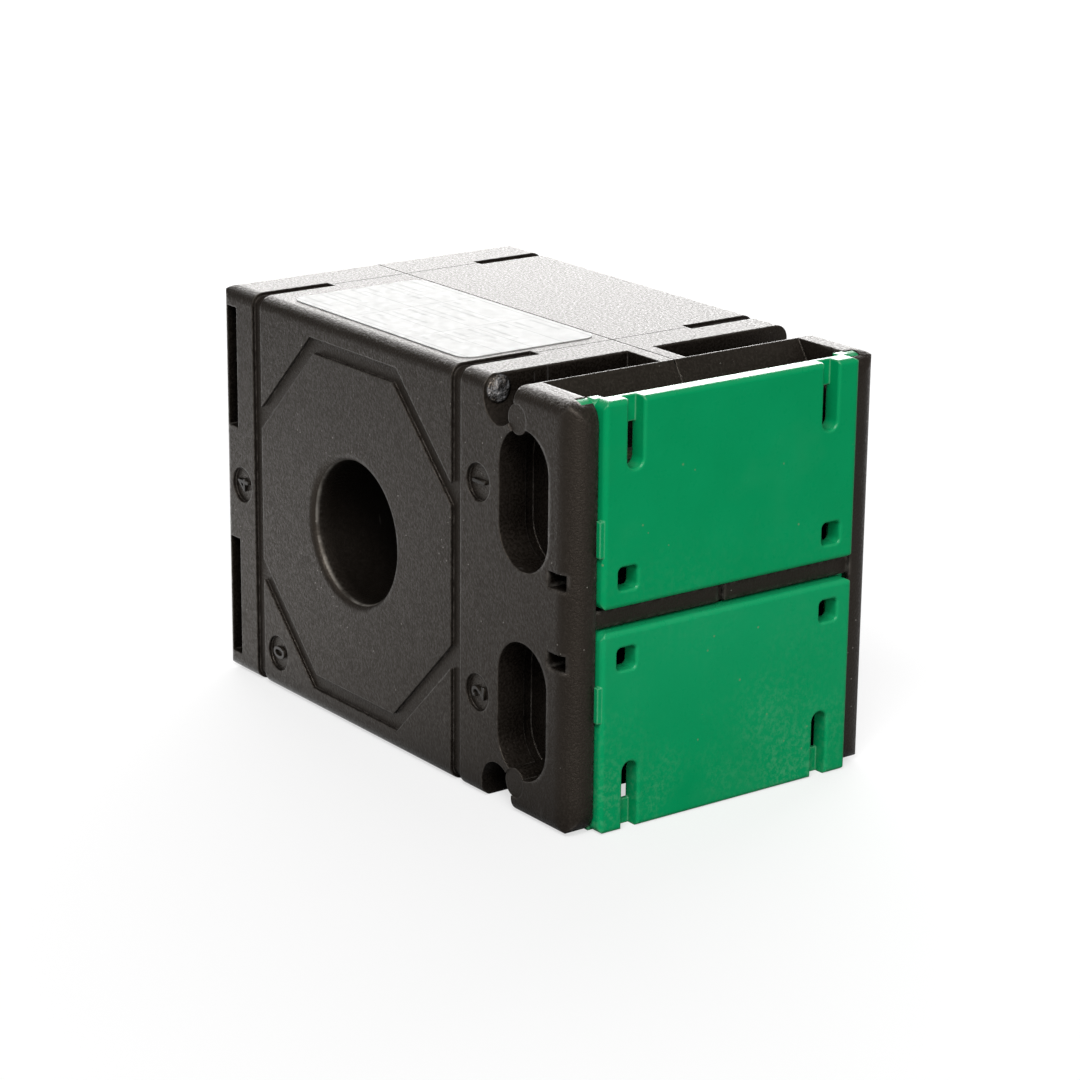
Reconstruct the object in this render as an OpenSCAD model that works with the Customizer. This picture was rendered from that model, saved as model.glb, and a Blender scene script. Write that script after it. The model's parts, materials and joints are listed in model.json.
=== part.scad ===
// Moulded-case current transformer with a round primary aperture, a wound ring core
// and a double terminal box closed by two sliding covers.
// The origin is the centre of the aperture. The primary conductor runs along Y,
// the terminal box is at +X, and Z runs from one cover to the other.

/* [Housing] */
// Height of the case, across the two terminal compartments
case_h = 60; // [58:0.5:66]
// Depth of the case along the primary conductor
case_d = 53; // [48:0.2:60]
// Wall of the moulded shells
wall = 2.2; // [1.8:0.1:2.4]
// Rounding of the case edges
edge_r = 2; // [1:0.1:2.4]
// Rounding of the upper and lower corner at the plain end
end_r = 2.5; // [1.6:0.1:3.2]
// Solid end block behind the coil, opposite to the terminals
end_block = 7.6; // [6.5:0.1:10]
// Distance from the coil to the outer face on the terminal side
coil_side = 4.9; // [3.5:0.1:7]
// Width of the shadow gap where the two shells meet
seam_gap = 0.2; // [0.1:0.05:0.3]
// Depth of the shadow gap
seam_depth = 0.7; // [0.4:0.1:0.8]
// Height of the inner lip that locates the two shells
lip_h = 1.5; // [1:0.1:2.5]

/* [Primary aperture] */
// Bore for the primary conductor
bore_d = 21; // [18:0.5:22]
// Wall of the tube round the bore
tube_wall = 1.9; // [1.5:0.1:2.2]
// Rounding of the rim of the bore
rim_r = 1.2; // [0.3:0.1:1.5]

/* [Face relief] */
// Distance from the outside of the coil in to the edge of the raised octagon
ring_inset = 2.6; // [2:0.1:3.5]
// Width of the sunk octagon ring and of the two sunk bands
ring_w = 2.3; // [1.5:0.1:2.6]
// Depth of the sunk ring and bands
relief = 0.55; // [0.3:0.05:0.8]
// Run of the sunk bands over the top and bottom from each face
band_run = 13.2; // [10:0.1:16]
// Radius of the round marking recesses
mark_r = 2.7; // [2:0.1:2.8]
// Distance from the groove to the middle of a terminal mark
mark_in = 1.1; // [0.8:0.1:1.6]
// Height of the terminal marks above and below the middle of the case
mark_z = 15; // [12:0.1:18]
// Distance from the plain end to the middle of the direction mark
mark_end = 5.2; // [4.6:0.1:5.6]
// Distance from the inner side of the left band to the middle of the corner mark
mark_side = 3.7; // [3.4:0.1:5]
// Height of the corner mark above the bottom
mark_up = 6; // [5:0.1:8]

/* [Terminal box] */
// Width of the groove between the case and the terminal box
groove_w = 6.9; // [6.2:0.1:8]
// Depth of the groove
groove_h = 6.1; // [5:0.1:7.5]
// Rounding of the two mouth edges of the groove
groove_r = 0.3; // [0.2:0.1:0.8]
// Width of the bridge that crosses the groove at the seam
bridge_w = 4.4; // [3:0.1:6]
// Length of the terminal box
box_l = 12.8; // [12:0.1:14]
// Thickness of the cheeks on both sides of the compartments
cheek_t = 4.3; // [3.9:0.1:4.6]
// Rounding of the outer corners of the terminal box
box_r = 3; // [2:0.1:3.4]
// Edge of the box wall at the mouth of a compartment
mouth_lip = 0.5; // [0.4:0.1:1]
// Depth of the sloped lead-in for the wires
leadin_h = 3.4; // [2:0.1:5]
// Distance from the box wall to the floor of the compartments
floor_in = 2.8; // [2.4:0.1:3.2]
// Thickness of the rib between the two compartments
rib_t = 2.4; // [1.6:0.1:2.6]
// Setback of the rib behind the outer face of the cheeks
rib_setback = 0.5; // [0.2:0.1:1]
// Diameter of the round posts between the grooves and the oval pockets
post_d = 4.2; // [3.4:0.1:4.8]
// Distance from the groove to the middle of a post
post_in = 0.6; // [0.2:0.1:1]
// Distance from the top or the bottom to the middle of a post
post_down = 4.4; // [4:0.1:5]
// Setback of the posts behind the face of the case
post_inset = 0.2; // [0.1:0.05:0.4]

/* [Foot pockets] */
// Width of the oval pockets
oval_w = 11.1; // [9:0.1:11.4]
// Length of the oval pockets
oval_l = 19.6; // [16:0.1:20]
// Distance from the middle of the case to the middle of an oval pocket
oval_z = 14.8; // [14:0.1:15.4]
// Distance from the groove wall to the middle of an oval pocket
oval_in = 9.2; // [8.9:0.1:9.6]
// Depth of the oval pockets
oval_depth = 6.1; // [5:0.1:7]
// Depth at which the oval pockets widen
oval_step = 4.5; // [3:0.1:4.8]
// Widening of the oval pockets behind that depth
oval_undercut = 0.5; // [0.2:0.1:0.7]
// Wall and floor round the oval pockets
oval_wall = 1.4; // [1.2:0.1:1.7]
// Width of the narrow pockets in the end block
slit_w = 2.7; // [2:0.1:3]
// Length of the narrow pockets
slit_l = 18.4; // [14:0.1:19]
// Distance from the middle of the case to the near end of a narrow pocket
slit_z = 8.7; // [8:0.1:9.5]
// Distance from the plain end to the near side of a narrow pocket
slit_in = 1.6; // [1.4:0.1:2]
// Depth of the narrow pockets
slit_depth = 4; // [2:0.1:8]

/* [Covers] */
// Thickness of the cover plates
cover_t = 2.6; // [2:0.1:3]
// How far the covers stand proud of the cheeks
cover_proud = 1.1; // [0.6:0.1:1.4]
// Gap between the two closed covers
cover_gap = 3.2; // [3:0.1:4]
// Gap between a cover plate and a cheek
cover_side = 0.3; // [0.2:0.05:0.5]
// Thickness of the guide rails behind a cover plate
rail_t = 1.4; // [1:0.1:1.6]
// Width of the guide rails behind the edge of a cover plate
rail_w = 1.6; // [1:0.1:2.4]
// Reach of the guide rails into the cheeks
rail_reach = 1.7; // [1:0.1:1.8]
// Running clearance round the guide rails
rail_clear = 0.1; // [0.05:0.05:0.15]
// Width of the open slots in a cover
notch_w = 2.6; // [2.2:0.1:3.4]
// Length of the open slots in a cover
notch_l = 9.6; // [8:0.1:12]
// Length of the closed web at the mouth of a slot
web_l = 3.6; // [2.5:0.1:5]
// Thickness of that web
web_t = 0.6; // [0.4:0.1:1.4]
// Distance from the edge of a cover plate to a slot
notch_in = 3.8; // [3:0.1:4.5]
// Width of the square windows in a cover
peep_w = 3.2; // [2.6:0.1:3.8]
// Rounding of the corners of the square windows
peep_r = 0.7; // [0.4:0.1:1.2]
// Distance from the edge of a cover plate to a square window
peep_in = 2.6; // [2.4:0.1:3.6]
// Distance from the inner end of a cover to a square window
peep_up = 2.4; // [1.8:0.1:3]
// Rounding of the outer edges round the slots and windows
flare_r = 0.4; // [0.2:0.1:0.6]
// Rounding of the outer edges of a cover plate
plate_r = 0.7; // [0.4:0.1:1]
// Rounding of the corners of a cover plate
plate_corner = 1.2; // [0.8:0.1:2]
// Length of the small lug on the front edge of a cover
lug_l = 5; // [3:0.1:7]
// Distance from the inner end of a cover to its lug
lug_up = 7.4; // [6:0.1:12]
// How far the lug sticks out past the edge of its cover
lug_out = 0.5; // [0.4:0.1:0.8]
// Width of the latch windows in the cheeks
latch_w = 3.5; // [2.5:0.1:3.6]
// Height of the latch windows in the cheeks
latch_h = 2.3; // [1.6:0.1:2.8]

/* [Terminals] */
// Thread diameter of the terminal screws
screw_d = 4; // [3.5:0.1:4.2]
// Thread pitch of the terminal screws
screw_pitch = 0.7; // [0.5:0.05:0.8]
// Turns that a terminal screw opens behind its closed cover
screw_turns = 4; // [2:1:4]
// Diameter of the screw heads
head_d = 7.2; // [6.4:0.1:8]
// Height of the screw heads
head_h = 2.4; // [2:0.1:2.6]
// Running clearance round the screw shanks
screw_clear = 0.06; // [0.03:0.01:0.09]
// Distance between the two screws of a terminal
screw_gap = 18.6; // [15:0.1:20]
// Thickness of the terminal bars
bar_t = 1.5; // [1:0.1:1.6]
// Width of the terminal bars
bar_w = 9.6; // [9:0.1:11]
// Thickness of the wire clamps
clamp_t = 1.2; // [0.8:0.1:1.4]
// Side of the square wire clamps
clamp_w = 8.6; // [8:0.1:9.4]

/* [Coil] */
// Thickness of the tape round the winding
tape_t = 0.4; // [0.3:0.05:0.6]
// Thickness of the secondary winding
winding_t = 1.7; // [1.2:0.1:2.2]
// Thickness of the insulating cups round the core
cup_t = 0.8; // [0.6:0.1:1.2]
// Fitting gap between the layers of the coil
layer_gap = 0.1; // [0.05:0.05:0.2]
// Room between the coil and the inside of the housing
coil_room = 0.8; // [0.5:0.1:1.2]
// Diameter of the two leads of the secondary winding
lead_d = 1.2; // [0.8:0.1:1.4]
// Height of the leads above and below the middle of the case
lead_z = 6.5; // [6:0.1:7]

/* [Label] */
// Thickness of the rating label
label_t = 0.12; // [0.08:0.01:0.2]
// Rounding of the label corners
label_r = 2.4; // [1:0.1:4]
// Distance from the left edge of the label to the octagon's left side
label_left = 3.6; // [1:0.1:6]
// Distance from the right edge of the label to the octagon's right side
label_right = 1.2; // [1:0.1:6]
// Distance from the front edge of the label to the rounded case edge
label_front = 1; // [0.4:0.1:4]
// Distance from the rear edge of the label to the seam
label_back = 0.4; // [0.3:0.1:4]

/* [Hidden] */
$fn = 64;
cut = 1;
bite = 0.02;

// Half sizes of the housing
hh = case_h / 2;
hd = case_d / 2;

// Coil, worked in from the housing
coil_r = hh - wall - coil_room;
coil_in = bore_d / 2 + tube_wall + coil_room;
coil_half = hd - wall - coil_room;
winding_r = coil_r - tape_t - layer_gap;
winding_in = coil_in + tape_t + layer_gap;
winding_half = coil_half - tape_t - layer_gap;
cup_r = winding_r - winding_t - layer_gap;
cup_in = winding_in + winding_t + layer_gap;
cup_half = winding_half - winding_t - layer_gap;
core_r = cup_r - cup_t - layer_gap;
core_in = cup_in + cup_t + layer_gap;
core_half = cup_half - cup_t - layer_gap;

// Stations along X
end_x = coil_r + coil_room + end_block;
case_x = coil_r + coil_side;
box_x = case_x + groove_w;
cheek_x = box_x + box_l;
cover_x = cheek_x + cover_proud;
plate_x = cover_x - cover_t;
rail_x = plate_x - rail_t;
floor_x = box_x + floor_in;
rib_x = cheek_x - rib_setback;

// Stations along Z
rib_z = rib_t / 2;
cover_z = cover_gap / 2;
groove_z = hh - groove_h;
neck_z = groove_z - wall;
latch_z = cover_z + peep_up + peep_w / 2;

// Stations along Y
cheek_y = hd - cheek_t;
plate_y = cheek_y - cover_side;
boss_y = hd - oval_depth - oval_wall;

// Octagon ring and bands
ring_in = coil_r - ring_inset;
ring_out = ring_in + ring_w;

// Oval pockets
oval_r = oval_w / 2;
oval_x = case_x + oval_in;
oval_arc = oval_l / 2 - oval_r;

// Room for the coil and its lip
room_left = coil_r + coil_room;
room_right = case_x - wall;
neck_x = floor_x - wall;
lip_t = wall / 2;
lip_clear = 0.05;

// Notch in the rib at the seam
rib_notch_l = 1;
rib_notch_d = 0.4;

// Terminals
stack_gap = 0.05;
bar_x = floor_x;
clamp_x = bar_x + bar_t + stack_gap;
head_x = clamp_x + clamp_t + stack_gap;
shank_r = screw_d / 2 - screw_clear;
well_clear = 0.4;
well_r = screw_d / 2 + well_clear;
well_floor = 1.2;
shank_past = 0.9;
shank_end = floor_x - wall - shank_past;
boss_wall = 1;
screw_z = oval_z;
screw_y = screw_gap / 2;
bar_seat = 0.7;
bar_y = boss_y + bar_seat;
tab_w = 4.4;
tab_over = 2;
tab_z = lead_z - tab_over;
lead_r = lead_d / 2;
lead_room = 0.3;
lead_hole_r = lead_r + lead_room;
lead_bend = 2;
lead_rise = 6;
lead_sink = 0.6;
lead_run = 6;
lead_past = 0.6;
lead_start = round(sqrt(winding_r * winding_r - pow(lead_z + lead_rise, 2)) * 10) / 10 - lead_sink;
lead_turn = lead_start + lead_run;

case_colour = [0.10, 0.095, 0.09];
cover_colour = [0.0, 0.45, 0.27];
metal_colour = [0.75, 0.73, 0.68];
copper_colour = [0.66, 0.32, 0.14];

// ---------- shared helpers ----------

// Rectangle with its left and right corner radii given
module rounded(x0, x1, y0, y1, left, right) {
    for (s = [[x0 + left, y0 + left, left], [x0 + left, y1 - left, left],
              [x1 - right, y0 + right, right], [x1 - right, y1 - right, right]])
        translate([s[0], s[1]]) circle(s[2]);
    translate([x0 + left, y0]) square([x1 - x0 - left - right, y1 - y0]);
    translate([x0, y0 + left]) square([x1 - x0 - max(left, right), y1 - y0 - 2 * left]);
    translate([x1 - max(left, right) - bite, y0 + right])
        square([max(left, right) + bite, y1 - y0 - 2 * right]);
}

// Extrude an XZ outline along Y
module along_y(y0, y1) {
    translate([0, y1, 0]) rotate([90, 0, 0]) linear_extrude(y1 - y0) children();
}

// Extrude a YZ outline along X
module along_x(x0, x1) {
    translate([x0, 0, 0]) rotate([90, 0, 90]) linear_extrude(x1 - x0) children();
}

// Extrude an XY outline along Z
module along_z(z0, z1) {
    translate([0, 0, z0]) linear_extrude(z1 - z0) children();
}

// Box given by its lowest and highest corner
module block(low, high) {
    translate(low) cube(high - low);
}

// Draw the children above and below the middle plane
module both_z() {
    children();
    mirror([0, 0, 1]) children();
}

// ---------- housing ----------

// Side outline of the case, the terminal box and the web between them
module side_outline(inset = 0) {
    z = hh - inset;
    mouth_r = max(groove_r - inset, 0.1);
    rounded(-end_x + inset, case_x - inset, -z, z, end_r - inset, mouth_r);
    rounded(box_x + inset, cheek_x - inset, -z, z, mouth_r, box_r - inset);
    web_z = groove_z + groove_w / 2;
    difference() {
        translate([case_x - cut - inset, -web_z])
            square([groove_w + 2 * (cut + inset), 2 * web_z]);
        for (s = [-1, 1])
            translate([(case_x + box_x) / 2, s * web_z]) circle(groove_w / 2 + inset);
    }
}

// The whole outside of the housing with all edges rounded
module housing_block() {
    intersection() {
        along_y(-hd, hd) side_outline();
        along_z(-hh, hh) rounded(-end_x, cheek_x, -hd, hd, edge_r, box_r);
        along_x(-end_x - cut, cheek_x + cut) rounded(-hd, hd, -hh, hh, edge_r, edge_r);
    }
}

// Bridges that cross the grooves at the seam
module bridges() {
    both_z() block([case_x - cut, -bridge_w / 2, groove_z], [box_x + cut, bridge_w / 2, hh]);
}

// Round post beside the groove, from its setback to the floor of the oval pocket
module corner_post(y0, y1) {
    translate([box_x + post_in, y0, hh - post_down]) rotate([-90, 0, 0]) cylinder(h = y1 - y0, d = post_d);
}

// Outline of the coil room, with the neck towards the terminals
module room_outline(grow = 0) {
    z = hh - wall + grow;
    translate([-room_left - grow, -z]) square([room_left + room_right + 2 * grow, 2 * z]);
    translate([0, -neck_z - grow]) square([neck_x + grow, 2 * (neck_z + grow)]);
}

// One wire compartment with its sloped lead-in
module compartment() {
    along_y(-cheek_y, cheek_y) polygon([
        [box_x + mouth_lip, hh + cut],
        [box_x + mouth_lip, hh],
        [floor_x, hh - leadin_h],
        [floor_x, rib_z],
        [cheek_x + cut, rib_z],
        [cheek_x + cut, hh + cut]
    ]);
}

// Oval in the XZ plane, grown by a wall
module oval_outline(grow = 0) {
    for (s = [-1, 1])
        translate([oval_x, oval_z + s * oval_arc]) circle(oval_r + grow);
    translate([oval_x - oval_r - grow, oval_z - oval_arc]) square([2 * (oval_r + grow), 2 * oval_arc]);
}

// Oval pocket, wider behind its step, with the post left standing in its corner
module oval_pocket() {
    difference() {
        union() {
            along_y(-hd - cut, -hd + oval_depth) oval_outline();
            along_y(-hd + oval_step, -hd + oval_depth) oval_outline(oval_undercut);
        }
        corner_post(-hd + post_inset, -hd + oval_depth + cut);
    }
    corner_post(-hd - cut, -hd + post_inset);
}

// Narrow pocket in the end block
module slit_pocket() {
    block([-end_x + slit_in, -hd - cut, slit_z], [-end_x + slit_in + slit_w, -hd + slit_depth, slit_z + slit_l]);
}

// Octagon given by the distance from its middle to a side
module octagon(side_r) {
    intersection() {
        square(2 * side_r, center = true);
        rotate(45) square(2 * side_r, center = true);
    }
}

// Sunk octagon ring on the front face
module sunk_ring() {
    along_y(-hd - cut, -hd + relief) difference() {
        octagon(ring_out);
        octagon(ring_in);
    }
}

// Sunk band over the full height that turns over the top and the bottom
module sunk_band(x0) {
    difference() {
        along_x(x0, x0 + ring_w) difference() {
            translate([-hd - cut, -hh - cut]) square([hd + cut, case_h + 2 * cut]);
            rounded(-hd + relief, hd, -hh + relief, hh - relief, edge_r - relief, edge_r - relief);
        }
        block([x0 - cut, -hd + band_run, -hh - cut], [x0 + ring_w + cut, cut, hh + cut]);
    }
}

// Round recesses for the terminal and direction marks
module mark_recesses() {
    for (p = [[case_x - mark_in, mark_z], [case_x - mark_in, -mark_z],
              [-end_x + mark_end, 0], [-ring_in + mark_side, -hh + mark_up]])
        translate([p[0], -hd - cut, p[1]]) rotate([-90, 0, 0]) cylinder(h = cut + relief, r = mark_r);
}

// Bore with a rounded rim at the front face
module bore_cut() {
    bore_r = bore_d / 2;
    rotate([90, 0, 0]) cylinder(h = case_d + 2 * cut, r = bore_r, center = true);
    translate([0, -hd, 0]) rotate([-90, 0, 0]) rotate_extrude() difference() {
        translate([bore_r - bite, -cut]) square([rim_r + bite, rim_r + cut]);
        translate([bore_r + rim_r, rim_r]) circle(rim_r);
    }
}

// Well and boss for one terminal screw
module screw_boss(grow) {
    translate([shank_end - well_floor - grow, 0, 0]) rotate([0, 90, 0])
        cylinder(h = floor_x - shank_end + well_floor + grow - (grow > 0 ? wall / 2 : -cut), r = well_r + grow);
}

// Cover grooves and latch windows in the cheek at the front
module cheek_cuts() {
    block([rail_x - rail_clear, -cheek_y - rail_reach - rail_clear, cover_z - rail_clear],
          [plate_x + rail_clear, -cheek_y + cut, hh + cut]);
    block([plate_x + rail_clear - latch_w, -hd - cut, latch_z - latch_h / 2],
          [plate_x + rail_clear, -cheek_y + cut, latch_z + latch_h / 2]);
}

// Half of the housing on the front side, open at the seam
module half_shell() {
    difference() {
        intersection() {
            union() {
                housing_block();
                bridges();
                both_z() corner_post(-hd + post_inset, -hd + oval_depth);
            }
            block([-end_x - cut, -hd - cut, -hh - cut], [cheek_x + cut, 0, hh + cut]);
            difference() {
                union() {
                    difference() {
                        block([-end_x - cut, -hd - cut, -hh - cut], [cheek_x + cut, cut, hh + cut]);
                        along_y(-hd + wall, cut + 1) room_outline();
                        both_z() compartment();
                        block([rib_x, -cheek_y, -rib_t], [cheek_x + cut, cut + 1, rib_t]);
                    }
                    both_z() along_y(-hd, -boss_y) oval_outline(oval_wall);
                    both_z() translate([0, -screw_y, screw_z]) screw_boss(boss_wall);
                    rotate([90, 0, 0]) cylinder(h = hd, r = bore_d / 2 + tube_wall);
                }
                both_z() oval_pocket();
                both_z() slit_pocket();
                both_z() translate([0, -screw_y, screw_z]) screw_boss(0);
                both_z() cheek_cuts();
                both_z() bar_slot();
                both_z() lead_hole();
                bore_cut();
                sunk_ring();
                sunk_band(-ring_out);
                sunk_band(ring_in);
                mark_recesses();
            }
        }
        seam_shadow();
    }
}

// Shallow shadow gap round the outside of the seam
module seam_shadow() {
    along_y(-seam_gap / 2, cut) difference() {
        translate([-end_x - cut, -hh - cut]) square([end_x + cheek_x + 2 * cut, case_h + 2 * cut]);
        side_outline(seam_depth);
    }
}

// Slot that holds the end of a terminal bar
module bar_slot() {
    block([bar_x - stack_gap, -bar_y - stack_gap, screw_z - bar_w / 2 - stack_gap],
          [bar_x + bar_t + stack_gap, -boss_y + cut, screw_z + bar_w / 2 + stack_gap]);
}

// Hole for a lead through the wall between the coil and a compartment
module lead_hole() {
    translate([neck_x - cut, 0, lead_z]) rotate([0, 90, 0])
        cylinder(h = wall + 2 * cut, r = lead_hole_r);
}

// Front shell with the rebate that takes the lip of the rear shell
module front_shell() {
    color(case_colour) difference() {
        half_shell();
        along_y(-lip_h - lip_clear, cut) room_outline(lip_t + lip_clear);
        along_y(-rib_notch_l, cut) translate([rib_x - rib_notch_d, -rib_t]) square([cut, 2 * rib_t]);
    }
}

// Rear shell with its lip
module rear_shell() {
    color(case_colour) {
        mirror([0, 1, 0]) half_shell();
        difference() {
            along_y(-lip_h, wall) difference() {
                room_outline(lip_t);
                room_outline(0);
            }
            both_z() lead_hole();
        }
    }
}

// ---------- coil ----------

// Ring with a rectangular section round the Y axis
module ring(inner, outer, half) {
    rotate([90, 0, 0]) rotate_extrude() translate([inner, -half]) square([outer - inner, 2 * half]);
}

// Ring-shaped shell that wraps the layer inside it
module ring_wrap(inner, outer, half, thick) {
    difference() {
        ring(inner, outer, half);
        ring(inner + thick, outer - thick, half - thick);
    }
}

// Strip-wound magnetic core
module core() {
    color([0.45, 0.46, 0.48]) ring(core_in, core_r, core_half);
}

// Insulating cup over the front half of the core
module core_cup_front() {
    color([0.85, 0.83, 0.75]) difference() {
        ring(cup_in, cup_r, cup_half);
        ring(cup_in + cup_t, cup_r - cup_t, cup_half - cup_t);
        translate([0, hd, 0]) cube([4 * hh, 2 * hd + layer_gap, 4 * hh], center = true);
    }
}

// Insulating cup over the rear half of the core
module core_cup_rear() {
    mirror([0, 1, 0]) core_cup_front();
}

// Enamelled copper winding round the cups
module secondary_winding() {
    color(copper_colour) ring_wrap(winding_in, winding_r, winding_half, winding_t);
}

// Tape round the winding
module winding_tape() {
    color([0.80, 0.72, 0.35]) ring_wrap(coil_in, coil_r, coil_half, tape_t);
}

// Quarter bend of a lead in the XZ plane
module lead_elbow() {
    rotate([90, 0, 0]) rotate_extrude(angle = 90) translate([lead_bend, 0]) circle(lead_r);
}

// Lead from the winding to the tab of its terminal bar
module lead_route() {
    high = lead_z + lead_rise;
    translate([lead_start, 0, high]) rotate([0, 90, 0]) cylinder(h = lead_turn - lead_start, r = lead_r);
    translate([lead_turn, 0, high - lead_bend]) lead_elbow();
    translate([lead_turn + lead_bend, 0, lead_z + lead_bend]) cylinder(h = lead_rise - 2 * lead_bend, r = lead_r);
    translate([lead_turn + 2 * lead_bend, 0, lead_z + lead_bend]) rotate([0, 180, 0]) lead_elbow();
    translate([lead_turn + 2 * lead_bend, 0, lead_z]) rotate([0, 90, 0])
        cylinder(h = bar_x + bar_t + lead_past - lead_turn - 2 * lead_bend, r = lead_r);
}

module lead_s1() {
    color(copper_colour) lead_route();
}

module lead_s2() {
    color(copper_colour) mirror([0, 0, 1]) lead_route();
}

// ---------- terminals ----------

// Brass bar with two threaded holes and a solder tab
module terminal_bar() {
    color(metal_colour) difference() {
        along_x(bar_x, bar_x + bar_t) {
            translate([-bar_y, screw_z - bar_w / 2]) square([2 * bar_y, bar_w]);
            translate([-tab_w / 2, tab_z]) square([tab_w, screw_z - tab_z]);
        }
        for (s = [-1, 1])
            translate([bar_x - cut, s * screw_y, screw_z]) rotate([0, 90, 0])
                cylinder(h = bar_t + 2 * cut, d = screw_d);
        translate([bar_x - cut, 0, lead_z]) rotate([0, 90, 0])
            cylinder(h = bar_t + 2 * cut, r = lead_r + stack_gap);
    }
}

module terminal_bar_s1() {
    terminal_bar();
}

module terminal_bar_s2() {
    mirror([0, 0, 1]) terminal_bar();
}

// Square wire clamp with two pressing grooves, centred on its screw axis
module wire_clamp() {
    groove_side = 0.6;
    color(metal_colour) difference() {
        translate([clamp_x, -clamp_w / 2, -clamp_w / 2]) cube([clamp_t, clamp_w, clamp_w]);
        translate([clamp_x - cut, 0, 0]) rotate([0, 90, 0]) cylinder(h = clamp_t + 2 * cut, d = screw_d);
        for (s = [-1, 1])
            translate([clamp_x, s * (clamp_w + screw_d) / 4, -clamp_w]) rotate(45)
                cube([groove_side, groove_side, 4 * clamp_w], center = true);
    }
}

// Terminal screw with a cross recess, centred on its own axis
module terminal_screw() {
    chamfer = 0.4;
    recess = [2.8, head_d * 0.62, 1];
    color(metal_colour) difference() {
        union() {
            translate([shank_end, 0, 0]) rotate([0, 90, 0]) cylinder(h = head_x - shank_end + bite, r = shank_r);
            translate([head_x, 0, 0]) rotate([0, 90, 0]) cylinder(h = head_h - chamfer, d = head_d);
            translate([head_x + head_h - chamfer - bite, 0, 0]) rotate([0, 90, 0])
                cylinder(h = chamfer + bite, d1 = head_d, d2 = head_d - 2 * chamfer);
        }
        for (a = [0, 90])
            translate([head_x + head_h, 0, 0]) rotate([a, 0, 0]) cube(recess, center = true);
    }
}

// Put a piece that is centred on a screw axis on one of the four terminals
module at_terminal(side, level) {
    translate([0, side * screw_y, level * screw_z]) children();
}

module clamp_s1_front() {
    at_terminal(-1, 1) wire_clamp();
}

module clamp_s1_rear() {
    at_terminal(1, 1) wire_clamp();
}

module clamp_s2_front() {
    at_terminal(-1, -1) wire_clamp();
}

module clamp_s2_rear() {
    at_terminal(1, -1) wire_clamp();
}

module screw_s1_front() {
    at_terminal(-1, 1) terminal_screw();
}

module screw_s1_rear() {
    at_terminal(1, 1) terminal_screw();
}

module screw_s2_front() {
    at_terminal(-1, -1) terminal_screw();
}

module screw_s2_rear() {
    at_terminal(1, -1) terminal_screw();
}

// ---------- covers ----------

// Cover plate with rounded outer edges
module cover_plate() {
    intersection() {
        along_x(plate_x, cover_x) rounded(-plate_y, plate_y, cover_z, hh, plate_corner, plate_corner);
        along_z(cover_z, hh) rounded(plate_x - 2 * plate_r, cover_x, -plate_y, plate_y, plate_r, plate_r);
        along_y(-plate_y, plate_y) rounded(plate_x - 2 * plate_r, cover_x, cover_z, hh, plate_r, plate_r);
    }
}

// Section that rounds the outer edge of an opening; its x axis starts r inside the edge
module flare_section(r) {
    difference() {
        translate([0, -flare_r]) square([r + flare_r, flare_r + cut]);
        translate([r + flare_r, -flare_r]) circle(flare_r);
    }
}

// Rounding along a straight edge that runs up from the origin and faces +Y
module flare_side(r, length) {
    linear_extrude(length) mirror([1, 0]) rotate(90) flare_section(r);
}

// Rounding round a curved edge, from one angle and over another
module flare_turn(r, start, sweep) {
    rotate([0, 90, 0]) rotate([0, 0, start]) rotate_extrude(angle = sweep) flare_section(r);
}

// Slot that is open at the outer end, with a web behind its mouth
module cover_notch() {
    r = notch_w / 2;
    y = plate_y - notch_in - r;
    z = hh - notch_l + r;
    along_x(plate_x - rail_t - cut, cover_x + cut) {
        translate([y, z]) circle(r);
        translate([y - r, z]) square([notch_w, hh - web_l - z]);
    }
    along_x(plate_x + web_t, cover_x + cut) translate([y - r, z]) square([notch_w, hh + cut - z]);
    translate([cover_x, y, z]) {
        flare_turn(r, -90, 180);
        for (s = [0, 1]) mirror([0, s, 0]) flare_side(r, hh + cut - z);
    }
}

// Square window with rounded corners
module cover_peep() {
    half = peep_w / 2 - peep_r;
    y = plate_y - peep_in - peep_w / 2;
    z = cover_z + peep_up + peep_w / 2;
    along_x(plate_x - rail_t - cut, cover_x + cut)
        rounded(y - peep_w / 2, y + peep_w / 2, z - peep_w / 2, z + peep_w / 2, peep_r, peep_r);
    translate([cover_x, y, z]) for (a = [0 : 3]) rotate([90 * a, 0, 0]) {
        translate([0, half, half]) flare_turn(peep_r, 90, 90);
        translate([0, half, -half]) flare_side(peep_r, 2 * half);
    }
}

// Guide rail behind the edge of the plate, with a tongue that rides in the groove of a cheek
module cover_rail() {
    block([rail_x, plate_y - rail_w, cover_z], [plate_x + bite, plate_y, hh]);
    intersection() {
        block([rail_x, plate_y - bite, cover_z], [plate_x, cheek_y + rail_reach, hh]);
        along_y(0, hd) side_outline(rail_clear);
    }
}

// Small lug on the front edge that overlaps the cheek
module cover_lug() {
    lug_z = cover_z + lug_up;
    lug_step = 0.2;
    block([cheek_x + rail_clear, -plate_y - lug_out, lug_z], [cover_x - lug_step, -plate_y + cut, lug_z + lug_l]);
}

// Sliding cover of the upper compartment
module cover() {
    color(cover_colour) difference() {
        union() {
            cover_plate();
            cover_lug();
            for (s = [0, 1]) mirror([0, s, 0]) cover_rail();
        }
        for (s = [0, 1]) mirror([0, s, 0]) {
            cover_notch();
            cover_peep();
        }
    }
}

module upper_cover() {
    cover();
}

module lower_cover() {
    mirror([0, 0, 1]) cover();
}

// ---------- label ----------

// Rating label on the top of the front shell
module label() {
    color([0.86, 0.86, 0.84]) along_z(hh, hh + label_t)
        rounded(-ring_in + label_left, ring_in - label_right,
                -hd + edge_r + label_front, -seam_gap / 2 - label_back, label_r, label_r);
}

// ---------- assembly ----------

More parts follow.
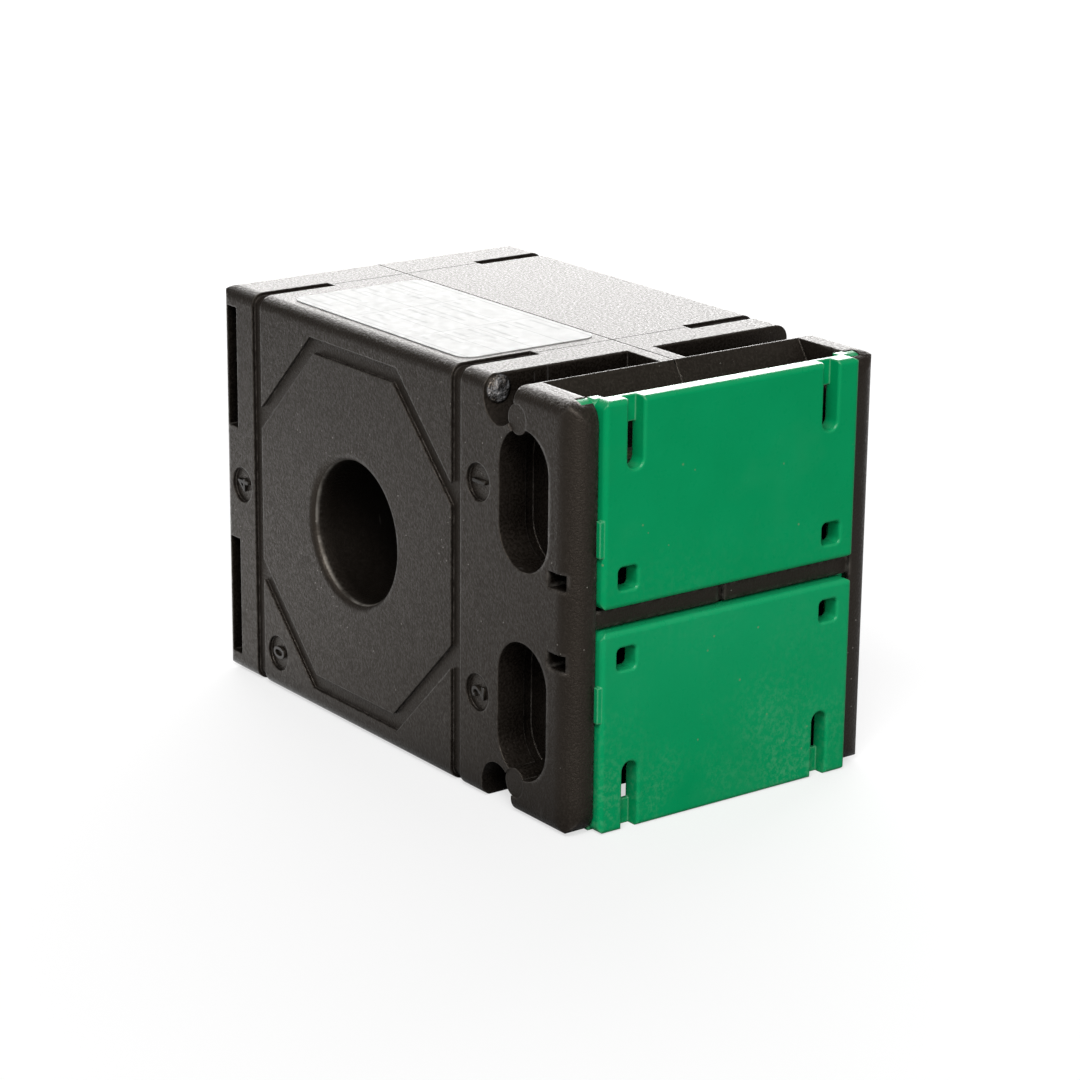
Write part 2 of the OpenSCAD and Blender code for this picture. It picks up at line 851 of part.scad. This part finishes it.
front_shell();
rear_shell();
core();
core_cup_front();
core_cup_rear();
secondary_winding();
winding_tape();
lead_s1();
lead_s2();
terminal_bar_s1();
terminal_bar_s2();
clamp_s1_front();
clamp_s1_rear();
clamp_s2_front();
clamp_s2_rear();
screw_s1_front();
screw_s1_rear();
screw_s2_front();
screw_s2_rear();
upper_cover();
lower_cover();
label();
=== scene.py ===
"""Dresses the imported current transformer: materials, raised numbers, floor, light and camera."""
import json
import math

import bpy
from mathutils import Matrix, Vector

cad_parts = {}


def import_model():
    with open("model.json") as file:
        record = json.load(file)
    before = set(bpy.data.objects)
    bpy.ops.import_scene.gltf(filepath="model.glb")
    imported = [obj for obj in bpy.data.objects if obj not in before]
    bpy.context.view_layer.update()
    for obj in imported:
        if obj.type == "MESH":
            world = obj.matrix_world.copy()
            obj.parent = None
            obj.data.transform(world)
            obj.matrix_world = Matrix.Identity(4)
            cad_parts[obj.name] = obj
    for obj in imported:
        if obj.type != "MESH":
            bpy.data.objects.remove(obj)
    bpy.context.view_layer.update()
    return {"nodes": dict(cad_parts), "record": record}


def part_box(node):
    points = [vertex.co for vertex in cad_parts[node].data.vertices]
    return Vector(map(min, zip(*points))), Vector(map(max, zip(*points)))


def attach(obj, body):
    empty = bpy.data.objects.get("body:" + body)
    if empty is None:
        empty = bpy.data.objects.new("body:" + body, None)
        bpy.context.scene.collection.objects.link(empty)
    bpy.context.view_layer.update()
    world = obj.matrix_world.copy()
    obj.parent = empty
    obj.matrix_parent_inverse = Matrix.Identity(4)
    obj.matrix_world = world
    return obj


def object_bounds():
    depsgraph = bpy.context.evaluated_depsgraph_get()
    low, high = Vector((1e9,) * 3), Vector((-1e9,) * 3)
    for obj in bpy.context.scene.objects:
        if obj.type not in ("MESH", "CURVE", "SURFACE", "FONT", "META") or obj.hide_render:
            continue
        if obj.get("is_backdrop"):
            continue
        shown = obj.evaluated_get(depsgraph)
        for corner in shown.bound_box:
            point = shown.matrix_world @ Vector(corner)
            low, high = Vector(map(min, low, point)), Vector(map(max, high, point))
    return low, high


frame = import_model()
nodes = frame["nodes"]

# ---------- places on the housing, in metres ----------

MM = 0.001
# The polished dome on the wall of the upper groove, near the front face: its middle, radius and height
SPOT = (31.9 * MM, -24.0 * MM, 27.9 * MM)
SPOT_R = 2.0 * MM
SPOT_RISE = 1.9 * MM
# The round recesses: their radius, a depth just outside their floors, and the name, X and Z of each
MARK_R = 2.65 * MM
MARK_DEPTH = 26.2 * MM
MARKS = (
    ("upper", 30.8 * MM, 15 * MM),
    ("lower", 30.8 * MM, -15 * MM),
    ("end", -30.2 * MM, 0),
    ("corner", -20.7 * MM, -24 * MM),
)
# X of the two ring grooves, and the height from which a point is on the case's top or bottom
SEAMS = (-25.5 * MM, 25.5 * MM)
SEAM_HEIGHT = 29.8 * MM
# Where the painted highlight line runs round the bore's rim: its radius, and the least distance from the
# mid-plane
RIM_R = 10.62 * MM
RIM_DEPTH = 25 * MM
# The outer end of the terminal box, from where its cheeks get rounder edges to where they have them
CHEEK_START = 43.0 * MM
CHEEK_END = 45.5 * MM
# The label's ruled table: the size of its cells, its lines, and the pitch of the bars
CELL_W = 15.0 * MM
CELL_H = 5.3 * MM
RULE_W = 0.08 * MM
BAR_PITCH = CELL_H / 2

CASE_SPECULAR = 0.42
# The Mix node's colour sockets, which share their names with its other kinds of socket
MIX_A = 6
MIX_B = 7
MIX_RESULT = 2


# ---------- node helpers ----------

class Nodes:
    """Short calls for the nodes of one tree, in the object's own coordinates."""

    def __init__(self, tree):
        self.tree = tree
        self.coords = tree.nodes.new("ShaderNodeTexCoord").outputs["Object"]

    def feed(self, socket, value):
        """Links the socket to another one, or sets its value."""
        if isinstance(value, bpy.types.NodeSocket):
            self.tree.links.new(value, socket)
        else:
            socket.default_value = value

    def node(self, kind, **inputs):
        """A node with inputs given by name, where _ stands for a space."""
        n = self.tree.nodes.new(kind)
        for key, value in inputs.items():
            self.feed(n.inputs[key.replace("_", " ")], value)
        return n

    def place(self, vector=None):
        """The X, Y and Z of the coordinates or of another vector."""
        return tuple(self.node("ShaderNodeSeparateXYZ", Vector=vector or self.coords).outputs)

    def math(self, operation, a, b=0.0):
        n = self.tree.nodes.new("ShaderNodeMath")
        n.operation = operation
        self.feed(n.inputs[0], a)
        self.feed(n.inputs[1], b)
        return n.outputs[0]

    def product(self, first, *others):
        for other in others:
            first = self.math("MULTIPLY", first, other)
        return first

    def rest_of(self, value):
        """1 minus the value."""
        return self.math("SUBTRACT", 1.0, value)

    def measure(self, operation, a, b=None):
        """A vector operation with one number as its result: DISTANCE, LENGTH or DOT_PRODUCT."""
        n = self.tree.nodes.new("ShaderNodeVectorMath")
        n.operation = operation
        self.feed(n.inputs[0], a)
        if b is not None:
            self.feed(n.inputs[1], b)
        return n.outputs["Value"]

    def ramp(self, value, low, high, out_low=0.0, out_high=1.0):
        """Goes from out_low to out_high while the value goes from low to high, and stays there."""
        n = self.tree.nodes.new("ShaderNodeMapRange")
        n.clamp = True
        self.feed(n.inputs["Value"], value)
        self.feed(n.inputs["From Min"], low)
        self.feed(n.inputs["From Max"], high)
        self.feed(n.inputs["To Min"], out_low)
        self.feed(n.inputs["To Max"], out_high)
        return n.outputs["Result"]


class Shader(Nodes):
    """A material with a Principled shader, and the patterns that its looks are made of."""

    def __init__(self, name, base, roughness, metallic=0.0, specular=0.5):
        self.material = bpy.data.materials.new(name)
        self.material.use_nodes = True
        super().__init__(self.material.node_tree)
        self.bsdf = self.tree.nodes["Principled BSDF"]
        self.bsdf.inputs["Base Color"].default_value = (*base, 1)
        self.bsdf.inputs["Roughness"].default_value = roughness
        self.bsdf.inputs["Metallic"].default_value = metallic
        self.bsdf.inputs["Specular IOR Level"].default_value = specular
        self.normal = None

    def scaled(self, x, y, z):
        """The object coordinates, stretched along each axis."""
        m = self.node("ShaderNodeMapping", Vector=self.coords)
        m.inputs["Scale"].default_value = (x, y, z)
        return m.outputs[0]

    def noise(self, scale, detail=2.0, rough=0.5, vector=None):
        n = self.node("ShaderNodeTexNoise", Vector=vector or self.coords, Scale=scale)
        self.feed(n.inputs["Detail"], detail)
        self.feed(n.inputs["Roughness"], rough)
        return n.outputs["Fac"]

    def specks(self, scale, radius, spread, share):
        """Tiny dots in cells, kept only where a slow noise is above the share."""
        cells = self.node("ShaderNodeTexVoronoi", Vector=self.coords, Scale=scale)
        dots = self.math("LESS_THAN", cells.outputs["Distance"], radius)
        return self.product(dots, self.math("GREATER_THAN", self.noise(spread, 1), share))

    def mix(self, fac, a, b):
        n = self.tree.nodes.new("ShaderNodeMix")
        n.data_type = "RGBA"
        self.feed(n.inputs["Factor"], fac)
        for index, v in ((MIX_A, a), (MIX_B, b)):
            self.feed(n.inputs[index], v if isinstance(v, bpy.types.NodeSocket) else (*v, 1))
        return n.outputs[MIX_RESULT]

    def wave(self, scale, vector, **settings):
        """A wave texture with the given settings."""
        n = self.node("ShaderNodeTexWave", Vector=vector, Scale=scale)
        for key, value in settings.items():
            setattr(n, key, value)
        return n.outputs["Fac"]

    def soft_edges(self, radius):
        """Rounds the shading of the edges by a small radius and gives a mask of where they are."""
        bevel = self.node("ShaderNodeBevel", Radius=radius)
        bevel.samples = 6
        self.normal = bevel.outputs[0]
        geometry = self.tree.nodes.new("ShaderNodeNewGeometry")
        return self.ramp(self.measure("DOT_PRODUCT", self.normal, geometry.outputs["Normal"]), 0.995, 0.9)

    def bump(self, height, strength, distance):
        b = self.node("ShaderNodeBump", Height=height, Strength=strength, Distance=distance)
        if self.normal is not None:
            self.feed(b.inputs["Normal"], self.normal)
        self.normal = b.outputs[0]

    def polished_spot(self):
        """A small wrinkled and polished dome on the wall of the upper groove, and its mask."""
        away = self.measure("DISTANCE", self.coords, SPOT)
        inside = self.ramp(away, SPOT_R, SPOT_R - 0.2 * MM)
        dome = self.ramp(away, SPOT_R + 0.1 * MM, 0.1 * MM)
        wrinkle = self.product(self.noise(1300, 3, 0.6), inside, 0.5)
        self.bump(self.math("ADD", dome, wrinkle), 1.0, SPOT_RISE)
        return inside

    def mark_floors(self):
        """The mask of the round recesses that hold the raised numbers."""
        across, along, up = self.place()
        total = 0.0
        for _, x, z in MARKS:
            far_x = self.math("POWER", self.math("SUBTRACT", across, x), 2.0)
            far_z = self.math("POWER", self.math("SUBTRACT", up, z), 2.0)
            inside = self.math("LESS_THAN", self.math("ADD", far_x, far_z), MARK_R ** 2)
            total = self.math("ADD", total, inside)
        return self.product(total, self.math("LESS_THAN", self.math("ABSOLUTE", along), MARK_DEPTH))

    def top_seams(self):
        """The thin lines that join the ring grooves across the top and the bottom of the case."""
        across, _, up = self.place()
        line = 0.0
        for x in SEAMS:
            near = self.math("ABSOLUTE", self.math("SUBTRACT", across, x))
            line = self.math("ADD", line, self.ramp(near, 0.12 * MM, 0.05 * MM))
        return self.product(line, self.math("GREATER_THAN", self.math("ABSOLUTE", up), SEAM_HEIGHT))

    def round_the_bore(self):
        """The distances from the bore's axis and from the mid-plane."""
        across, along, up = self.place()
        flat = self.node("ShaderNodeCombineXYZ", X=across, Z=up).outputs[0]
        return self.measure("LENGTH", flat), self.math("ABSOLUTE", along)

    def painted_rim_line(self):
        """The mask of a thin painted highlight line round the bore's rim."""
        reach, depth = self.round_the_bore()
        near = self.math("ABSOLUTE", self.math("SUBTRACT", reach, RIM_R))
        line = self.ramp(near, 0.13 * MM, 0.04 * MM)
        return self.product(line, self.math("GREATER_THAN", depth, RIM_DEPTH))

    def inside_bore(self):
        """The mask of the bore's wall, which fades in just behind its rounded rim, and which painted shade
        darkens.
        """
        reach, depth = self.round_the_bore()
        wall = self.math("LESS_THAN", reach, RIM_R)
        return self.product(wall, self.ramp(depth, 26.3 * MM, 23.5 * MM))

    def open_sky(self, reach):
        """0 deep in bores, pockets and grooves, and 1 on open faces."""
        sky = self.node("ShaderNodeAmbientOcclusion", Distance=reach)
        sky.samples = 4
        return sky.outputs["AO"]

    def done(self, color=None, roughness=None):
        """Links what has been made to the shader, and gives the material."""
        for key, value in (("Base Color", color), ("Roughness", roughness), ("Normal", self.normal)):
            if value is not None:
                self.feed(self.bsdf.inputs[key], value)
        return self.material


# ---------- materials ----------

def case_plastic():
    """Dark brown-black moulding: a spark-eroded grain, dust, a few short scratches, smoother hollows,
    painted shade in the hollows and the bore, and painted highlights on the edges, the bore's rim and the
    polished spot.
    """
    base = (0.0078, 0.0060, 0.0045)
    warm = (0.0100, 0.0078, 0.0060)
    grain_top = (0.030, 0.025, 0.021)
    painted_shade_tone = (0.0016, 0.0012, 0.0009)
    line_dark = (0.0012, 0.0010, 0.0008)
    dust = (0.34, 0.32, 0.29)
    scratched = (0.12, 0.115, 0.11)
    worn_and_lit_edge = (0.105, 0.095, 0.085)
    rim_glint_tone = (0.15, 0.14, 0.125)
    spot_highlight = (0.30, 0.30, 0.31)
    relief = 0.12 * MM
    small_round = 0.30 * MM
    cheek_round = 0.95 * MM
    s = Shader("case_plastic", base, 0.45, specular=CASE_SPECULAR)
    s.bsdf.inputs["Specular Tint"].default_value = (1.0, 0.85, 0.71, 1)

    # Relief: the edges, the grain, slow waves, the seam lines and the polished spot
    edge = s.soft_edges(s.ramp(s.place()[0], CHEEK_START, CHEEK_END, small_round, cheek_round))
    grain = s.noise(2700, 2, 0.6)
    fine = s.noise(6000, 2, 0.6)
    waves = s.noise(140, 3)
    lines = s.top_seams()
    floors = s.mark_floors()
    bore = s.inside_bore()
    sky = s.open_sky(12 * MM)
    s.bump(s.math("ADD", grain, s.product(fine, 0.6)), 0.75, relief)
    s.bump(waves, 0.08, relief)
    s.bump(lines, 0.6, -relief)
    spot = s.polished_spot()

    # Colour: grain, painted shade in the hollows and the bore, dust and scratches, edges that are partly
    # worn and partly a painted highlight, a painted highlight line on the rim, seam lines, and a painted
    # highlight on the spot
    tone = s.mix(s.ramp(waves, 0.35, 0.65), base, warm)
    tone = s.mix(s.ramp(grain, 0.45, 0.66, 0, 0.6), tone, grain_top)
    # Painted shade: the colour darkens in hollows, by ambient occlusion, and on the bore's wall
    shade = s.math("MAXIMUM", s.ramp(sky, 0.20, 0.75, 0.85, 0.0), s.product(bore, 0.7))
    tone = s.mix(shade, tone, painted_shade_tone)
    in_the_open = s.product(s.ramp(sky, 0.70, 0.90, 0.0, 0.8), s.math("LESS_THAN", bore, 0.01))
    tone = s.mix(s.product(s.specks(640, 0.062, 95, 0.51), in_the_open), tone, dust)
    upright = s.ramp(s.noise(1, 1, 0.4, s.scaled(900, 900, 90)), 0.735, 0.75)
    tone = s.mix(s.product(upright, s.ramp(s.noise(60, 1), 0.55, 0.6), 0.20), tone, scratched)
    # Paler edges: partly wear, partly a painted highlight
    tone = s.mix(s.product(edge, s.ramp(s.noise(900, 2), 0.35, 0.70, 0.10, 0.75)), tone, worn_and_lit_edge)
    # A painted highlight: a thin pale line round the bore's rim
    rim_glint = s.product(s.painted_rim_line(), s.ramp(s.noise(420, 3), 0.35, 0.60, 0.15, 0.9))
    tone = s.mix(rim_glint, tone, rim_glint_tone)
    tone = s.mix(s.product(lines, 0.9), tone, line_dark)
    # A painted highlight: pale patches on the polished spot
    spot_highlight_patches = s.ramp(s.noise(900, 3, 0.65), 0.44, 0.60, 0.05, 0.85)
    tone = s.mix(s.product(spot, spot_highlight_patches), tone, spot_highlight)

    # Gloss: hollows, recess floors and the spot are smoother, and deep places and the bore shine less, a
    # painted shade in their reflections
    gloss = s.math("SUBTRACT", s.ramp(grain, 0.35, 0.65, 0.34, 0.52), s.product(edge, 0.10))
    smooth = s.math("MAXIMUM", s.ramp(sky, 0.80, 0.35, 0, 0.5), s.product(floors, 0.6))
    smooth = s.math("MAXIMUM", smooth, s.product(spot, 0.55))
    shine = s.ramp(grain, 0.35, 0.65, 1.25 * CASE_SPECULAR, 0.7 * CASE_SPECULAR)
    shine = s.product(shine, s.ramp(sky, 0.20, 0.75, 0.25, 1.0), s.rest_of(s.product(bore, 0.5)))
    shine = s.product(shine, s.rest_of(lines))
    s.feed(s.bsdf.inputs["Specular IOR Level"], s.math("MAXIMUM", shine, spot))
    return s.done(tone, s.product(gloss, s.rest_of(smooth)))


def cover_plastic():
    """Satin green moulding with slight haze and tiny specks, a painted paler sheen on the lower cover, and
    pale edges that are partly rubbed and partly a painted highlight.
    """
    base = (0.0002, 0.264, 0.089)
    even = (0.0008, 0.280, 0.097)
    lower_cover_sheen = (0.006, 0.315, 0.118)
    mottle_and_sheen = (0.20, 0.44, 0.27)
    hazy = (0.16, 0.38, 0.24)
    speck = (0.16, 0.26, 0.12)
    pale_edge_highlight = (0.20, 0.50, 0.30)
    s = Shader("cover_plastic", base, 0.30, specular=0.10)
    up = s.place()[2]
    edge = s.soft_edges(0.35 * MM)
    slow = s.noise(120, 3)
    s.bump(s.noise(2600, 3, 0.6), 0.14, 0.04 * MM)
    s.bump(slow, 0.14, 0.18 * MM)

    # Colour: mottled towards the bottom, partly the moulding's own haze and partly a painted sheen, and
    # paler in the upper half of the lower cover, a painted sheen too
    tone = s.mix(s.ramp(slow, 0.3, 0.7), base, even)
    mottle = s.product(s.ramp(s.noise(1100, 3, 0.7), 0.45, 0.68), s.ramp(s.noise(55, 3), 0.40, 0.62))
    tone = s.mix(s.product(mottle, s.ramp(up, 12 * MM, -30 * MM), 0.24), tone, mottle_and_sheen)
    band = s.product(s.ramp(up, -24 * MM, -4 * MM, 0.0, 0.6), s.math("LESS_THAN", up, 0.0))
    tone = s.mix(band, tone, lower_cover_sheen)
    tone = s.mix(s.product(s.ramp(s.noise(70, 4, 0.6), 0.54, 0.80), 0.05), tone, hazy)
    tone = s.mix(s.product(s.specks(430, 0.075, 120, 0.60), 0.6), tone, speck)
    # Pale edges: partly wear, partly a painted highlight
    tone = s.mix(s.product(edge, 0.40), tone, pale_edge_highlight)

    # Gloss: surfaces that face upwards and the edges get more specular, so that they catch the light
    gloss = s.math("SUBTRACT", s.ramp(s.noise(900, 2), 0.3, 0.7, 0.26, 0.36), s.product(edge, 0.08))
    shine = s.math("MAXIMUM", s.ramp(s.place(s.normal)[2], 0.15, 0.75, 0.06, 0.60), s.product(edge, 0.40))
    s.feed(s.bsdf.inputs["Specular IOR Level"], shine)
    return s.done(tone, gloss)


def metal(name, base, dark, roughness, grain):
    """Plated metal with fine tooling marks and dull spots."""
    s = Shader(name, base, roughness, metallic=1.0)
    edge = s.soft_edges(0.10 * MM)
    s.bump(s.noise(1, 3, 0.6, s.scaled(*grain)), 0.25, 0.02 * MM)
    tone = s.mix(s.ramp(s.noise(420, 3), 0.35, 0.75), base, dark)
    tone = s.mix(s.product(edge, 0.5), tone, tuple(min(1, 1.2 * v) for v in base))
    return s.done(tone, s.ramp(s.noise(1500, 2), 0.3, 0.7, roughness - 0.07, roughness + 0.08))


def winding_copper():
    """Enamelled wire: fine ridges that run round the section of the ring."""
    base = (0.50, 0.19, 0.06)
    dark = (0.36, 0.12, 0.035)
    s = Shader("winding_copper", base, 0.28, metallic=0.85)
    s.bump(s.wave(900, s.scaled(1, 0.02, 1), wave_type="BANDS"), 0.5, 0.12 * MM)
    return s.done(s.mix(s.ramp(s.noise(350, 2), 0.3, 0.7), base, dark))


def core_steel():
    """Wound magnetic strip: fine rings on the flat faces."""
    base = (0.34, 0.35, 0.37)
    dark = (0.22, 0.23, 0.25)
    s = Shader("core_steel", base, 0.35, metallic=1.0)
    s.bump(s.wave(1400, s.coords, wave_type="RINGS", rings_direction="Y"), 0.4, 0.05 * MM)
    return s.done(s.mix(s.ramp(s.noise(200, 3), 0.3, 0.7), base, dark))


def tape_film():
    """Insulating film with the steps of its overlapping turns."""
    base = (0.62, 0.46, 0.12)
    dark = (0.50, 0.35, 0.08)
    s = Shader("tape_film", base, 0.3)
    s.bump(s.wave(40, s.coords, wave_profile="SAW"), 0.5, 0.15 * MM)
    return s.done(s.mix(s.ramp(s.noise(90, 3), 0.3, 0.7), base, dark))


def plain_plastic(name, base, other, roughness):
    """Smooth moulded part with soft variation."""
    s = Shader(name, base, roughness)
    s.soft_edges(0.15 * MM)
    s.bump(s.noise(1800, 3), 0.12, 0.03 * MM)
    tone = s.mix(s.ramp(s.noise(160, 3), 0.3, 0.7), base, other)
    return s.done(tone, s.ramp(s.noise(500, 2), 0.3, 0.7, roughness - 0.06, roughness + 0.06))


def label_foil():
    """Pale satin foil with a plain ruled table and faint grey bars in place of its print."""
    base = (0.46, 0.46, 0.45)
    dull = (0.41, 0.41, 0.40)
    rule = (0.18, 0.18, 0.18)
    ink = (0.15, 0.15, 0.15)
    s = Shader("label_foil", base, 0.42, specular=0.06)
    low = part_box("label")[0]
    shift = s.node("ShaderNodeMapping", Vector=s.coords)
    shift.inputs["Location"].default_value = (-low[0] + 0.5 * MM, -low[1] - 0.9 * MM, 0)
    table = s.node("ShaderNodeTexBrick", Vector=shift.outputs[0], Scale=1.0, Mortar_Size=RULE_W,
                   Mortar_Smooth=0.1, Brick_Width=CELL_W, Row_Height=CELL_H)
    table.offset = 0.0
    s.bump(s.noise(1500, 3), 0.10, 0.03 * MM)
    s.bump(s.noise(60, 2), 0.25, 0.25 * MM)
    tone = s.mix(s.ramp(s.noise(240, 3), 0.3, 0.7), base, dull)
    tone = s.mix(s.product(table.outputs["Fac"], 0.6), tone, rule)

    # Two bars in each cell, from its left side to a length of their own
    across, along, _ = s.place(shift.outputs[0])
    line = s.math("DIVIDE", along, BAR_PITCH)
    column = s.math("DIVIDE", across, CELL_W)
    row = s.math("FRACT", line)
    start = s.math("FRACT", column)
    rows = s.product(s.ramp(row, 0.40, 0.43), s.ramp(row, 0.64, 0.61))
    entry = s.node("ShaderNodeCombineXYZ", X=s.product(s.math("FLOOR", column), 5.3),
                   Y=s.product(s.math("FLOOR", line), 3.7))
    length = s.ramp(s.noise(1, 1, 0.4, entry.outputs[0]), 0.35, 0.65, 0.18, 0.92)
    bars = s.product(s.math("GREATER_THAN", start, 0.07), s.math("LESS_THAN", start, length))
    worn = s.ramp(s.noise(1600, 2), 0.30, 0.60, 0.20, 0.34)
    tone = s.mix(s.product(rows, bars, worn), tone, ink)
    return s.done(tone, s.ramp(s.noise(800, 2), 0.3, 0.7, 0.36, 0.48))


BRASS, BRASS_DULL = (0.66, 0.60, 0.46), (0.48, 0.42, 0.30)
STEEL, STEEL_DULL = (0.62, 0.62, 0.60), (0.42, 0.42, 0.40)
LOOKS = {
    "case_plastic": case_plastic(),
    "cover_plastic": cover_plastic(),
    "terminal_metal": metal("terminal_metal", BRASS, BRASS_DULL, 0.30, (90, 2600, 2600)),
    "screw_steel": metal("screw_steel", STEEL, STEEL_DULL, 0.26, (900, 900, 900)),
    "winding_copper": winding_copper(),
    "core_steel": core_steel(),
    "cup_plastic": plain_plastic("cup_plastic", (0.70, 0.66, 0.55), (0.60, 0.56, 0.46), 0.45),
    "tape_film": tape_film(),
    "label_foil": label_foil(),
}
for entry in frame["record"]["subparts"]:
    mesh = nodes[entry["node"]].data
    mesh.materials.clear()
    mesh.materials.append(LOOKS[entry["material_slot"]])


# ---------- raised marks ----------

NUMBER_SIZE = 4.0 * MM
NUMBER_HEIGHT = 0.35 * MM
NUMBER_BEVEL = 0.05 * MM
# How far below the face the recess floors lie, which the numbers stand on
RECESS_DEPTH = 0.55 * MM


def number(name, text, turn, place, material):
    """A plain raised number, turned and placed, that rides with the housing."""
    curve = bpy.data.curves.new(name, "FONT")
    curve.body = text
    curve.size = NUMBER_SIZE
    curve.align_x = "CENTER"
    curve.align_y = "CENTER"
    curve.extrude = NUMBER_HEIGHT / 2
    curve.bevel_depth = NUMBER_BEVEL
    curve.resolution_u = 6
    o = bpy.data.objects.new(name, curve)
    bpy.context.collection.objects.link(o)
    bpy.context.view_layer.update()
    mesh = bpy.data.meshes.new_from_object(o.evaluated_get(bpy.context.evaluated_depsgraph_get()))
    solid = bpy.data.objects.new(name + "_mark", mesh)
    solid.matrix_world = Matrix.Translation(place) @ turn
    bpy.context.collection.objects.link(solid)
    bpy.data.objects.remove(o)
    mesh.materials.clear()
    mesh.materials.append(material)
    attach(solid, "housing")


def raised_marks():
    """The numbers on the floors of the round recesses of both shells."""
    look = plain_plastic("mark_plastic", (0.010, 0.008, 0.006), (0.020, 0.016, 0.012), 0.24)
    upright = Matrix.Rotation(math.radians(90), 4, "X") @ Matrix.Rotation(math.radians(90), 4, "Z")
    behind = Matrix.Rotation(math.radians(180), 4, "Z") @ upright
    front_face, rear_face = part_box("front_shell")[0][1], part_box("rear_shell")[1][1]
    for side, label, digits, face, turn in ((-1, "front", "1240", front_face, upright),
                                            (1, "rear", "1230", rear_face, behind)):
        for text, (where, x, z) in zip(digits, MARKS):
            middle = face - side * (RECESS_DEPTH - NUMBER_HEIGHT / 2)
            number(label + "_" + where, text, turn, (x, middle, z), look)


raised_marks()


# ---------- stage, light and camera ----------

WHITE = (1, 1, 1, 1)
PAPER = (0.34, 0.34, 0.34, 1)
FLOOR_SIZE = 8
FLOOR_GAP = 0.02 * MM


def paper_glow(tree):
    """The paper's glow: everywhere to the camera, and unevenly, on the left, to reflections alone."""
    s = Nodes(tree)
    path = tree.nodes.new("ShaderNodeLightPath")
    across, along, _ = s.place()
    lit = s.product(s.ramp(across, 0.035, -0.12, 0.0, 1.75), s.ramp(along, -0.05, -0.09, 1.0, 0.13))
    far = s.ramp(s.measure("LENGTH", s.coords), 0.25, 0.60, 0.62, 1.0)
    seen = s.product(path.outputs["Is Camera Ray"], far)
    return s.math("ADD", seen, s.product(path.outputs["Is Glossy Ray"], lit))


def floor():
    """Pale paper just below the part."""
    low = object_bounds()[0]
    bpy.ops.mesh.primitive_plane_add(size=FLOOR_SIZE, location=(0, 0, low[2] - FLOOR_GAP))
    plane = bpy.context.object
    plane.name = "floor"
    m = bpy.data.materials.new("floor_paper")
    m.use_nodes = True
    tree = m.node_tree
    bsdf = tree.nodes["Principled BSDF"]
    bsdf.inputs["Base Color"].default_value = PAPER
    bsdf.inputs["Roughness"].default_value = 0.9
    bsdf.inputs["Specular IOR Level"].default_value = 0.1
    glow = tree.nodes.new("ShaderNodeEmission")
    glow.inputs["Color"].default_value = WHITE
    tree.links.new(paper_glow(tree), glow.inputs["Strength"])
    total = tree.nodes.new("ShaderNodeAddShader")
    tree.links.new(bsdf.outputs[0], total.inputs[0])
    tree.links.new(glow.outputs[0], total.inputs[1])
    tree.links.new(total.outputs[0], tree.nodes["Material Output"].inputs["Surface"])
    plane.data.materials.append(m)
    plane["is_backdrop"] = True


def world():
    """A soft fill that is white to the camera."""
    w = bpy.data.worlds.new("studio")
    bpy.context.scene.world = w
    w.use_nodes = True
    tree = w.node_tree
    fill = tree.nodes["Background"]
    white = tree.nodes.new("ShaderNodeBackground")
    for background, strength in ((fill, 0.16), (white, 1.0)):
        background.inputs["Color"].default_value = WHITE
        background.inputs["Strength"].default_value = strength
    choose = tree.nodes.new("ShaderNodeMixShader")
    tree.links.new(tree.nodes.new("ShaderNodeLightPath").outputs["Is Camera Ray"], choose.inputs[0])
    tree.links.new(fill.outputs[0], choose.inputs[1])
    tree.links.new(white.outputs[0], choose.inputs[2])
    tree.links.new(choose.outputs[0], tree.nodes["World Output"].inputs["Surface"])


def soft_light(name, place, target, size, power):
    """A rectangular lamp at a place, turned to a target, that the camera doesn't see."""
    data = bpy.data.lights.new(name, "AREA")
    data.shape = "RECTANGLE"
    data.size, data.size_y = size
    data.energy = power
    lamp = bpy.data.objects.new(name, data)
    lamp.location = place
    lamp.rotation_euler = (Vector(target) - Vector(place)).to_track_quat("-Z", "Y").to_euler()
    lamp.visible_camera = False
    bpy.context.collection.objects.link(lamp)


def camera():
    """The photograph's viewing angle: yaw from +X towards -Y, pitch down and a slight roll, in degrees."""
    yaw, pitch, roll = (math.radians(v) for v in (36.58, 17.16, 0.58))
    place = (0.37304, -0.27002, 0.13662)
    forward = Vector((-math.cos(yaw) * math.cos(pitch), math.sin(yaw) * math.cos(pitch), -math.sin(pitch)))
    right = forward.cross(Vector((0, 0, 1))).normalized()
    up = right.cross(forward)
    right, up = math.cos(roll) * right + math.sin(roll) * up, math.cos(roll) * up - math.sin(roll) * right
    data = bpy.data.cameras.new("camera")
    data.sensor_width = 36
    data.lens = 108.4
    cam = bpy.data.objects.new("camera", data)
    cam.matrix_world = Matrix.Translation(place) @ Matrix((right, up, -forward)).transposed().to_4x4()
    bpy.context.collection.objects.link(cam)
    bpy.context.scene.camera = cam


bpy.context.scene.view_settings.view_transform = "Standard"
floor()
world()
soft_light("back_panel", (-0.62, 0.52, 0.26), (0, 0, 0.02), (1.1, 0.42), 11)
soft_light("key_box", (0.42, -0.48, 0.77), (0, 0, 0), (0.36, 0.36), 6.0)
soft_light("side_panel", (0.95, -0.45, 0.50), (0.03, 0, 0), (0.7, 0.7), 7)
camera()
